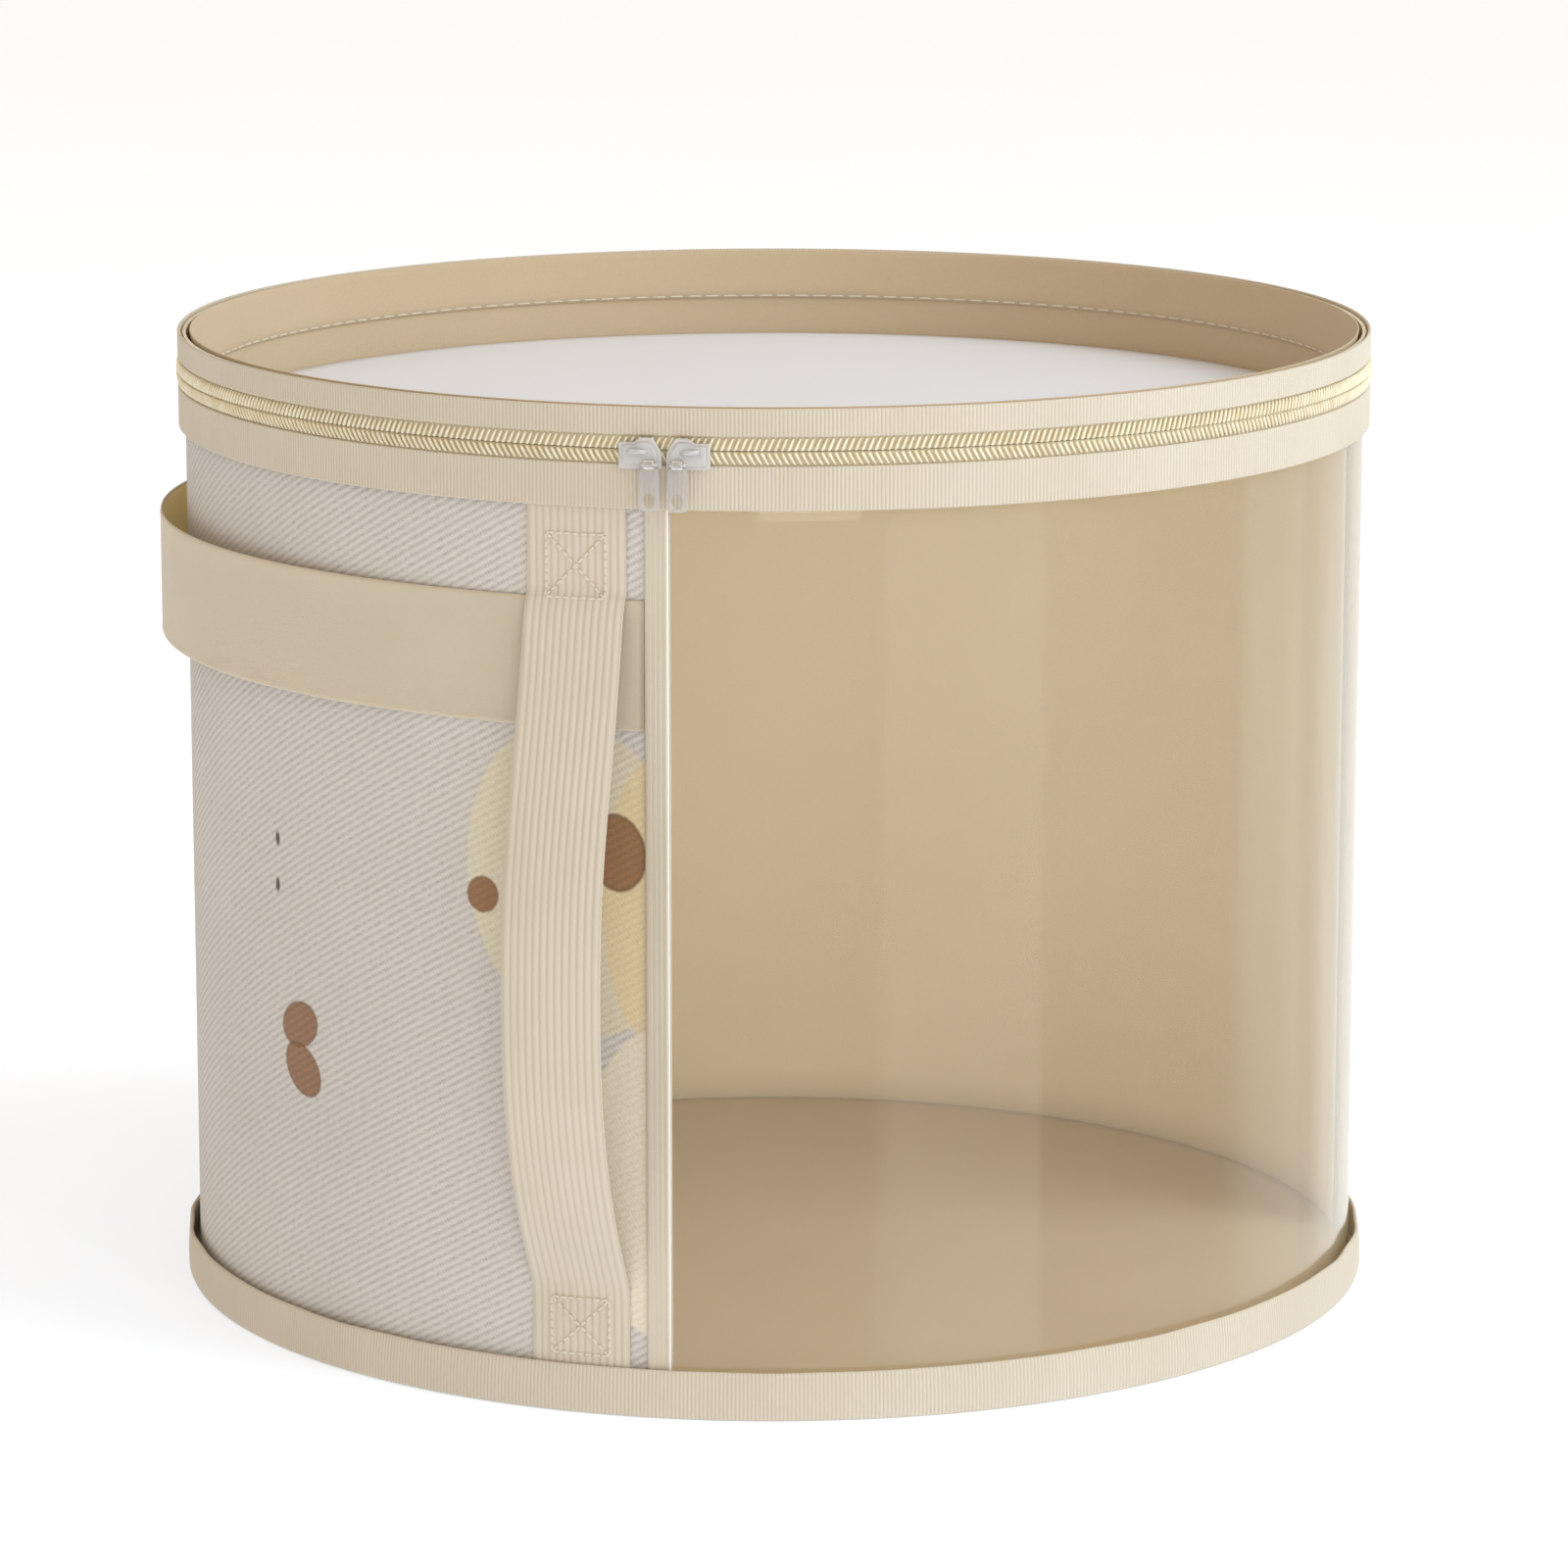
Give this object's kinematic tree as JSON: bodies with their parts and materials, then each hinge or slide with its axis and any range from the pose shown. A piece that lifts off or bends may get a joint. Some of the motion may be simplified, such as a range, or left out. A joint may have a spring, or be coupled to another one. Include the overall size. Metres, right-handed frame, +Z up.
{
  "type": "hat box",
  "caption": "Round soft-sided hat box with a clear side window, a sunken zip-round lid hinged at the back and webbing handles.",
  "frame": {"origin": "middle of the underside of the base, on the floor", "axes": "+Z up along the drum's axis, -Y to the front where the two zipper sliders meet, +Y to the lid's hinge, +X to the window's side"},
  "size_m": [0.3885, 0.405, 0.307],
  "materials": {
    "ribbed_webbing": "fine vertical ribs, matt",
    "side_fabric": null,
    "board": "grey-brown stiffening board",
    "lining": "plain non-woven lining",
    "base_fabric": "plain weave",
    "clear_film": "clear glossy sheet",
    "zipper_tape": "woven tape",
    "zipper_coil": "moulded coil teeth",
    "stop_metal": "stamped",
    "slider_resin": "translucent white, glossy",
    "hoop_plastic": "plain strip",
    "handle_webbing": "lengthwise ribs",
    "side_handle_webbing": "smooth, fine weave",
    "rim_facing": "smooth binding",
    "lid_fabric": "white, plain weave",
    "thread": "sewing thread"
  },
  "bodies": {
    "body": {"base_fabric": "base_fabric", "base_board": "board", "base_lining": "lining", "base_band": "ribbed_webbing", "base_hoop": "hoop_plastic", "side_fabric": "side_fabric", "side_board": "board", "side_lining": "lining", "window_film": "clear_film", "front_seam_binding": "ribbed_webbing", "front_seam_facing": "ribbed_webbing", "rear_seam_binding": "ribbed_webbing", "rear_seam_facing": "ribbed_webbing", "body_top_band": "ribbed_webbing", "body_top_hoop": "hoop_plastic", "body_top_facing": "rim_facing", "body_zipper_tape": "zipper_tape", "body_zipper_coil": "zipper_coil", "zipper_end_stops": "stop_metal", "hinge_gusset_lower": "ribbed_webbing", "front_handle": "handle_webbing", "front_handle_stitching": "thread", "side_handle": "side_handle_webbing", "side_handle_stitching": "thread"},
    "lid": {"hinge_gusset_upper": "ribbed_webbing", "lid_rim_band": "ribbed_webbing", "lid_hoop": "hoop_plastic", "lid_rim_facing": "rim_facing", "lid_skirt": "rim_facing", "lid_panel_cover": "lid_fabric", "lid_panel_board": "board", "lid_panel_lining": "lining", "lid_stitching": "thread", "lid_zipper_tape": "zipper_tape", "lid_zipper_coil": "zipper_coil"},
    "slider_left": {"slider_left": "slider_resin"},
    "pull_left": {"pull_left": "slider_resin"},
    "slider_right": {"slider_right": "slider_resin"},
    "pull_right": {"pull_right": "slider_resin"}
  },
  "joints": [
    {"name": "lid_hinge", "type": "hinge", "parent": "body", "child": "lid", "pos_m": [0, 0.1903, 0.2944], "axis": [-1, 0, 0], "range_deg": [0, 170]},
    {"name": "slider_left_travel", "type": "hinge", "parent": "body", "child": "slider_left", "pos_m": [0, 0, 0.2944], "axis": [0, 0, 1], "range_deg": [-162, 0]},
    {"name": "slider_right_travel", "type": "hinge", "parent": "body", "child": "slider_right", "pos_m": [0, 0, 0.2944], "axis": [0, 0, 1], "range_deg": [0, 162]},
    {"name": "pull_left_swing", "type": "hinge", "parent": "slider_left", "child": "pull_left", "pos_m": [-0.00422, -0.19325, 0.2906], "axis": [-0.9998, 0.0218, 0], "range_deg": [0, 165]},
    {"name": "pull_right_swing", "type": "hinge", "parent": "slider_right", "child": "pull_right", "pos_m": [0.00422, -0.19325, 0.2906], "axis": [-0.9998, -0.0218, 0], "range_deg": [0, 165]}
  ]
}
